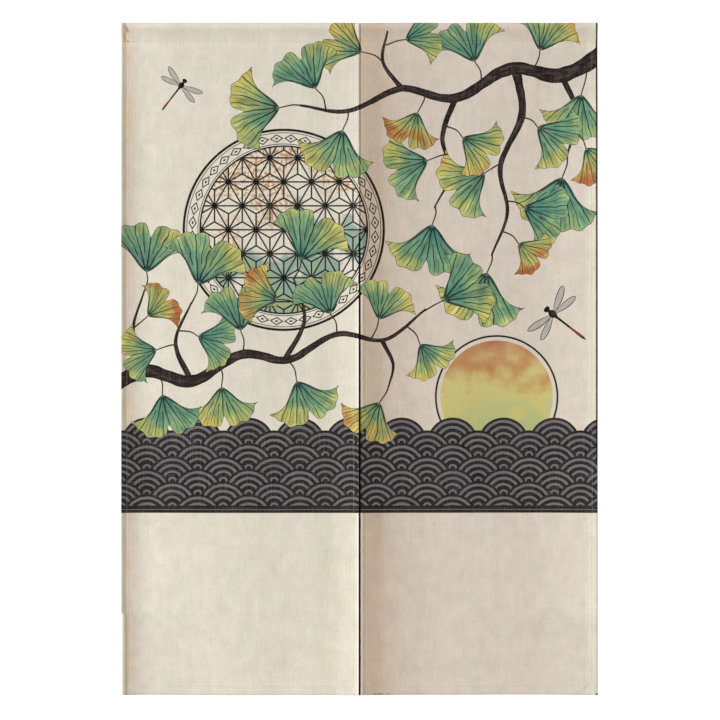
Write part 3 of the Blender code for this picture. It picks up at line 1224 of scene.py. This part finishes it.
        # Painted shade: a dark line down the right edge, high up.
        uneven = 0.86 + self.noise(1.0, 60.0, 2.0, 53.0) * 0.28
        rim = self.outer_line() * self.dark_edge_shade_above() * uneven
        colour = blend(colour, EDGE_SHADE_AND_DOT_DARK, rim.held())
        if self.side == "left" or (self.side == "right" and self.print_share == 1.0):
            # Painted shadow: the dark line along the slit, below its top.
            line = self.x.over(-0.0017, -0.0011) * (self.x + self.ragged()).over(0.0021, 0.0014)
            colour = blend(colour, SLIT_SHADOW, line * self.below_slit_top())
        return colour

    def leaf(self):
        """Watercolour from teal at the stalk to yellow and ochre at the rim, with fine veins."""
        reach = self.reach
        angle = self.u.angle_from(self.v)
        wash = self.noise(38.0, 38.0, 3.0, 2.0) - 0.5
        ripe = reach * 0.62 + self.u * 0.22 + wash * 0.75 + self.tint * 0.55 - 0.16
        colour = self.ramp(LEAF_STOPS, ripe)
        rust = (self.tint - 0.55).over(0.0, 0.3) * (wash + reach * 0.4).over(0.15, 0.45)
        colour = blend(colour, RUST, rust * 0.7)
        grain = self.noise(420.0, 420.0, 2.0, 6.0) - 0.5
        streak = self.noise_at(angle * 8.0, reach * 1.8, self.tint * 9.0, 3.0)
        depth = grain * 0.26 + wash * 0.45 + (streak - 0.5) * 1.5 + (reach - 0.6) * 0.30
        colour = shaded(colour, 0.91 + depth)
        angle = angle + (self.noise(34.0, 34.0, 1.0, 9.0) - 0.5) * 0.16
        width = 0.0165 - reach * 0.0070
        main = self.veins(angle, 8.0, width)
        forked = self.veins(angle, 16.0, width * 0.75) * reach.over(0.36, 0.42)
        fine = self.veins(angle, 32.0, width * 0.5) * reach.over(0.66, 0.72)
        inside = reach.over(0.985, 0.94) * reach.over(0.02, 0.10)
        return blend(colour, BLACK, main.most(forked).most(fine * 0.8) * inside * 0.92)

    def veins(self, angle, count, width):
        """Lines that run out from the joint, of the given half width."""
        away = (angle * count).sin().size() * self.reach * (1.0 / count)
        return away.over(width * 1.25, width * 0.55)

    def bough(self):
        """Dark bark, lit along its middle."""
        grain = self.noise_at(self.u * 60.0, self.v * 1.7, self.tint * 9.0, 3.0)
        lit = grain.over(0.46, 0.66) * self.v.size().over(0.85, 0.30)
        bark = blend(BARK, BARK_LIGHT, lit * 0.75)
        return blend(bark, BLACK, self.v.size().over(0.70, 0.86) * 0.8)

    def wave(self):
        """Grey arcs on charcoal, one scallop at a time."""
        at = self.reach + (self.noise(90.0, 90.0, 2.0, 4.0) - 0.5) * 0.035
        arcs, *others = (self.pulse(at, low, high) for low, high in WAVE_ARCS)
        for other in others:
            arcs = arcs.most(other)
        wash = self.noise(45.0, 45.0, 3.0, 7.0)
        worn = arcs * (0.55 + wash * 0.6 + self.tint * 0.15)
        return blend(CHARCOAL, GREY, worn.held())

    def star_lattice(self, u, v, pitch, line):
        """A star lattice: a triangle grid whose cells are joined to their middles. 1 on a line."""
        thirds = []
        for turn in (90.0, 210.0, 330.0):
            a = math.radians(turn)
            thirds.append(((u * math.cos(a) + v * math.sin(a)) / pitch).fraction())
        total = thirds[0] + thirds[1] + thirds[2]
        flipped = total.over(1.4, 1.6)
        shares = [t + flipped * (1.0 - t * 2.0) for t in thirds]
        lowest = shares[0].least(shares[1]).least(shares[2])
        highest = shares[0].most(shares[1]).most(shares[2])
        middle = 1.0 - lowest - highest
        to_vertex = (middle - lowest) * (pitch / math.sqrt(3.0))
        near = (lowest * pitch).least(to_vertex)
        return near.over(line * 0.72, line * 0.38)

    def roundel(self, ground):
        """A ruled ring with a diamond border round a star lattice over a teal and ochre wash."""
        reach = self.reach
        inside = reach.over(0.822, 0.812)
        wash = self.noise(17.0, 17.0, 4.0, 11.0)
        teal = (wash + self.v * -0.30 + self.u * 0.10).over(0.52, 0.66)
        dabs = self.noise(150.0, 150.0, 1.0, 15.0)
        cloud = self.noise(14.0, 14.0, 3.0, 21.0)
        gold = dabs.over(0.50, 0.56) * (cloud + self.v * 0.34 - self.u * 0.14).over(0.50, 0.70)
        colour = blend(ground, TEAL, teal * inside * 0.70)
        colour = blend(colour, LIME, (wash + self.v * -0.22).over(0.66, 0.80) * inside * 0.6)
        colour = blend(colour, OCHRE, gold * inside * 0.85)
        lattice = self.star_lattice(self.u, self.v, LATTICE_PITCH, LATTICE_LINE) * inside
        at = (self.v.angle_from(self.u) * (DIAMONDS / (2.0 * math.pi))).fraction()
        off_middle = (at - 0.5).size() * 2.0 + ((reach - 0.897) / 0.042).size()
        diamond = self.pulse(off_middle, 0.70, 0.98, 0.05).most(off_middle.over(0.30, 0.22))
        lines = lattice.most(diamond * self.pulse(reach, *BORDER, 0.003))
        for low, high, soft in ROUNDEL_RULES:
            lines = lines.most(self.pulse(reach, low, high, soft))
        return blend(colour, BLACK, lines)

    def sun(self, ground):
        """An ochre disc that pales downwards, with a thin black ring."""
        wash = self.noise(24.0, 24.0, 4.0, 31.0)
        glow = self.ramp(SUN_STOPS, (self.v * 0.45 + wash * 0.9 - 0.10).held())
        colour = blend(ground, glow, self.reach.over(0.905, 0.890) * (0.70 + wash * 0.35))
        return blend(colour, BLACK, self.pulse(self.reach, 0.955, 0.985, 0.004))

    def wing(self, ground):
        """A grey film with fine ribs."""
        rib = (self.u * 46.0 + self.v * 30.0).sin().size().over(0.30, 0.12)
        grey = blend(ground, WING_GREY, 0.55)
        return blend(grey, CHARCOAL, rib * 0.55)

    def strip(self):
        """The plain border under the waves: charcoal with one pale rule."""
        return blend(CHARCOAL, GREY, self.pulse(self.v * -1.0, 0.0062, 0.0078, 0.0003) * 0.8)

    def finish(self):
        tops, upright, level = self.yarns()
        ground = self.cloth(tops, upright, level)
        printed = ground
        for number, colour in (
            (LEAF, self.leaf()),
            (LINE, CHARCOAL),
            (BOUGH, self.bough()),
            (WAVE, self.wave()),
            (ROUNDEL, self.roundel(ground)),
            (SUN, self.sun(ground)),
            (INK, BLACK),
            (RED, RED_INK),
            (WING, self.wing(ground)),
            (STRIP, self.strip()),
        ):
            printed = blend(printed, colour, self.is_ink(number))
        cover = INK_COVER - (tops - 0.5) * 0.05 - (upright - 0.5) * 0.22 - (level - 0.5) * 0.18
        colour = self.edges(blend(ground, printed, (cover * self.print_share).held()))
        self.tree.links.new(colour.socket, self.shader.inputs["Base Color"])
        height = tops * 0.55 + upright * 0.9 + level * 0.7
        bump = self.node("ShaderNodeBump", None, {"Height": height, "Distance": YARN_DEPTH})
        self.tree.links.new(bump.socket, self.shader.inputs["Normal"])
        rough = ROUGHNESS + (upright - 0.5) * 0.10 - self.ink.over(0.4, 0.6) * INK_SMOOTHER
        self.tree.links.new(rough.socket, self.shader.inputs["Roughness"])
        self.shader.inputs["Specular IOR Level"].default_value = SHINE
        self.material.diffuse_color = BEIGE if self.side == "right" else CREAM
        return self.material


def cloth_materials(side):
    """The printed face and the back of one cloth."""
    return [
        ClothPaint(f"{side} cloth printed face", side, 1.0).finish(),
        ClothPaint(f"{side} cloth back", side, GHOST).finish(),
    ]


THREAD = paint(214, 204, 186)
THREAD_DARK = paint(188, 176, 156)


def thread_material():
    material, tree, shader = new_material("cream sewing thread")
    place = node(tree, "ShaderNodeTexCoord", out=3)
    twist = node(tree, "ShaderNodeTexNoise", None, {"Vector": place, "Scale": 1800.0})
    colour = blend(THREAD, THREAD_DARK, twist)
    tree.links.new(colour.socket, shader.inputs["Base Color"])
    bump = node(tree, "ShaderNodeBump", None, {"Height": twist, "Distance": 0.00005})
    tree.links.new(bump.socket, shader.inputs["Normal"])
    shader.inputs["Roughness"].default_value = 0.75
    return material


# Sewing
STITCH = 0.0027
STITCH_PITCH = 0.0034
THREAD_RADIUS = 0.00024
STANDS_OUT = 0.35  # of the thread's radius, its middle in front of the face
SEAM_X = -0.0028  # of the seam that joins the panels above the slit
ROW_STEP = 0.004  # between a row's points
TACK_FROM, TACK_TO = -0.0115, -0.0008
TACK_PITCH = 0.00052  # between the bar tack's upright stitches


def stitch_form():
    """One thread loop on the face, its ends sunk into the cloth: along X, its back at +Y."""
    bpy.ops.object.select_all(action="DESELECT")
    bpy.ops.mesh.primitive_uv_sphere_add(segments=6, ring_count=4, radius=1.0)
    loop = bpy.context.object
    bpy.ops.object.mode_set(mode="EDIT")
    bpy.ops.transform.rotate(value=math.pi / 2, orient_axis="Y", center_override=(0, 0, 0))
    bpy.ops.transform.resize(value=(STITCH / 2, THREAD_RADIUS, THREAD_RADIUS))
    bpy.ops.mesh.select_all(action="DESELECT")
    shape = bmesh.from_edit_mesh(loop.data)
    for vertex in shape.verts:
        vertex.select = abs(vertex.co.x) > STITCH * 0.45
    shape.select_flush_mode()
    bmesh.update_edit_mesh(loop.data)
    bpy.ops.transform.translate(value=(0, THREAD_RADIUS * 1.6, 0))
    bpy.ops.object.mode_set(mode="OBJECT")
    points = np.array([v.co for v in loop.data.vertices])
    faces = [tuple(p.vertices) for p in loop.data.polygons]
    bpy.data.objects.remove(loop, do_unlink=True)
    return points, faces


def points_at(line, along, at):
    return np.column_stack([np.interp(at, along, line[:, axis]) for axis in range(3)])


def sew_rows(name, rows, form, material):
    """Stitches along rows, joined in one mesh. A row is (points, outward way), point by point."""
    points, faces = form
    verts, cells = [], []
    for line, outward in rows:
        along = np.concatenate(((0,), np.cumsum(np.linalg.norm(np.diff(line, axis=0), axis=1))))
        at = np.arange(STITCH_PITCH / 2, along[-1], STITCH_PITCH)
        centres = points_at(line, along, at)
        ways = points_at(line, along, at + STITCH / 2) - points_at(line, along, at - STITCH / 2)
        ways /= np.linalg.norm(ways, axis=1)[:, None]
        for centre, way in zip(centres, ways):
            side = np.cross(way, outward)
            side /= np.linalg.norm(side)
            out = np.cross(side, way)
            turn = np.array((way, -out, np.cross(way, -out)))
            first = len(verts)
            verts.extend((points @ turn + centre + out * THREAD_RADIUS * STANDS_OUT).tolist())
            cells.extend([tuple(first + corner for corner in face) for face in faces])
    mesh = bpy.data.meshes.new(name)
    mesh.from_pydata(verts, [], cells)
    mesh.materials.append(material)
    mesh.shade_smooth()
    piece = add_object(name, mesh)
    return piece


def face_row(panel, xs, zs, back):
    """A row of points on a panel's front or back face."""
    xs, zs = np.broadcast_arrays(np.asarray(xs, float), np.asarray(zs, float))
    y = panel.front(xs, zs)
    if back:
        y = y + panel.thickness(xs, zs)
    return np.column_stack((xs, y, zs)), ((0, 1, 0) if back else (0, -1, 0))


def hem_rows(panel):
    rows = []
    inner = SIDE_HEM - STITCH_IN
    low = -DROP + BOTTOM_HEM - STITCH_IN
    upright = np.arange(SEW_TOP - 0.001, low, -ROW_STEP)
    level = np.arange(panel.left + inner, panel.right - inner, ROW_STEP)
    for back in (False, True):
        rows.append(face_row(panel, panel.left + inner, upright, back))
        rows.append(face_row(panel, panel.right - inner, upright, back))
        rows.append(face_row(panel, level, low, back))
    return rows


def pocket_rows():
    xs = np.arange(POCKET.left + 0.002, POCKET.right - 0.002, ROW_STEP)
    front = laid(POCKET.place, xs, POCKET.stitch)
    rear = laid(POCKET.place, xs, POCKET.length - POCKET.stitch)
    return [(front, (0, -1, 0)), (rear, (0, 1, 0))]


def lap_rows():
    """The seam that joins the panels above the slit, and the bar tack that ends it."""
    seam = np.arange(SEW_TOP - 0.001, -SLIT_TOP, -ROW_STEP)
    rows = [face_row(LEFT, SEAM_X, seam, False), face_row(RIGHT, SEAM_X, seam, True)]
    tack = np.linspace(-SLIT_TOP, -SLIT_TOP - STITCH, 4)
    for x in np.arange(TACK_FROM, TACK_TO, TACK_PITCH):
        rows.append(face_row(LEFT, x, tack, False))
        rows.append(face_row(RIGHT, x, tack, True))
    return rows


# The pieces
def make_curtain():
    motifs = print_motifs()
    form = stitch_form()
    thread = thread_material()
    for name, panel in (("left", LEFT), ("right", RIGHT)):
        cut = cut_cloth(*panel_lines(panel), motifs, 0.0)
        paints = cloth_materials(name)
        cloth = sew(f"{name}_panel_cloth", cut, panel.place, panel.thickness, 0.0, paints)
        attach(cloth, "root")
        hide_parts(f"panel_{name}")
        hems = sew_rows(f"{name}_hem_stitches", hem_rows(panel), form, thread)
        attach(hems, "root")
    cut = cut_cloth(*pocket_lines(), motifs, SEW_TOP)
    paints = cloth_materials("pocket")
    pocket = sew("rod_pocket_cloth", cut, POCKET.place, POCKET.thickness, SEW_TOP, paints)
    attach(pocket, "root")
    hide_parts("rod_pocket")
    seams = {}
    for name, rows in (("pocket_stitches", pocket_rows()), ("lap_stitches", lap_rows())):
        seams[name] = sew_rows(name, rows, form, thread)
        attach(seams[name], "root")


# The camera stands where the photograph's did: straight in front, far off
PIXELS = 720
PIXEL = DROP / 672.0  # metres of cloth to a pixel of the photograph
PHOTO_MIDDLE_X = 359.45
PHOTO_MIDDLE_Z = 358.75
CAMERA_DISTANCE = 6.0
SENSOR = 36.0


def make_camera():
    data = bpy.data.cameras.new("front view")
    data.sensor_width = SENSOR
    data.lens = SENSOR * CAMERA_DISTANCE / (PIXELS * PIXEL)
    camera = add_object("front view", data)
    camera.location = (
        (PIXELS / 2 - PHOTO_MIDDLE_X) * PIXEL,
        -CAMERA_DISTANCE,
        -DROP / 2 - (PIXELS / 2 - PHOTO_MIDDLE_Z) * PIXEL,
    )
    camera.rotation_euler = (math.pi / 2, 0.0, 0.0)
    bpy.context.scene.camera = camera


KEY_SIDE = math.radians(-53)  # the lamp stands to the left of the view
KEY_HEIGHT = math.radians(20)
KEY_STRENGTH = 3.06
KEY_SOFTNESS = math.radians(20)
AMBIENT = 0.342
AMBIENT_FALL = 0.45  # how much dimmer than the middle the right side of the room is
AMBIENT_REAR = 0.75  # how much lighter the room is behind the curtain


def make_lights():
    data = bpy.data.lights.new("key", "SUN")
    data.energy = KEY_STRENGTH
    data.angle = KEY_SOFTNESS
    key = add_object("key", data)
    towards = Vector((
        math.sin(KEY_SIDE) * math.cos(KEY_HEIGHT),
        -math.cos(KEY_SIDE) * math.cos(KEY_HEIGHT),
        math.sin(KEY_HEIGHT),
    ))
    key.rotation_euler = towards.to_track_quat("Z", "Y").to_euler()
    world = bpy.data.worlds.new("white studio")
    bpy.context.scene.world = world
    world.use_nodes = True
    tree = world.node_tree
    seen = node(tree, "ShaderNodeLightPath")
    way = node(tree, "ShaderNodeTexCoord", out=0)
    split = tree.nodes.new("ShaderNodeSeparateXYZ")
    tree.links.new(way.socket, split.inputs[0])
    side, ahead = (Wire(tree, split.outputs[i]) for i in (0, 1))
    room = (1.0 - side * AMBIENT_FALL) * AMBIENT + ahead.most(0.0) * AMBIENT_REAR
    strength = seen.most(room)
    background = tree.nodes["Background"]
    background.inputs["Color"].default_value = (1.0, 1.0, 1.0, 1.0)
    tree.links.new(strength.socket, background.inputs["Strength"])
    bpy.context.scene.view_settings.view_transform = "Standard"


FLOOR_Z = -1.95
FLOOR_RADIUS = 3.2


def make_floor():
    bpy.ops.object.select_all(action="DESELECT")
    bpy.ops.mesh.primitive_circle_add(
        vertices=96, radius=FLOOR_RADIUS, fill_type="NGON", location=(0.0, 0.0, FLOOR_Z)
    )
    floor = bpy.context.object
    floor.name = "studio_floor"
    material, tree, shader = new_material("pale floor")
    place = node(tree, "ShaderNodeTexCoord", out=3)
    grain = node(tree, "ShaderNodeTexNoise", None, {"Vector": place, "Scale": 3.0, "Detail": 5.0})
    colour = blend(paint(232, 230, 226), paint(240, 239, 236), grain)
    tree.links.new(colour.socket, shader.inputs["Base Color"])
    shader.inputs["Roughness"].default_value = 0.9
    floor.data.materials.append(material)


make_camera()
make_curtain()
make_lights()
make_floor()
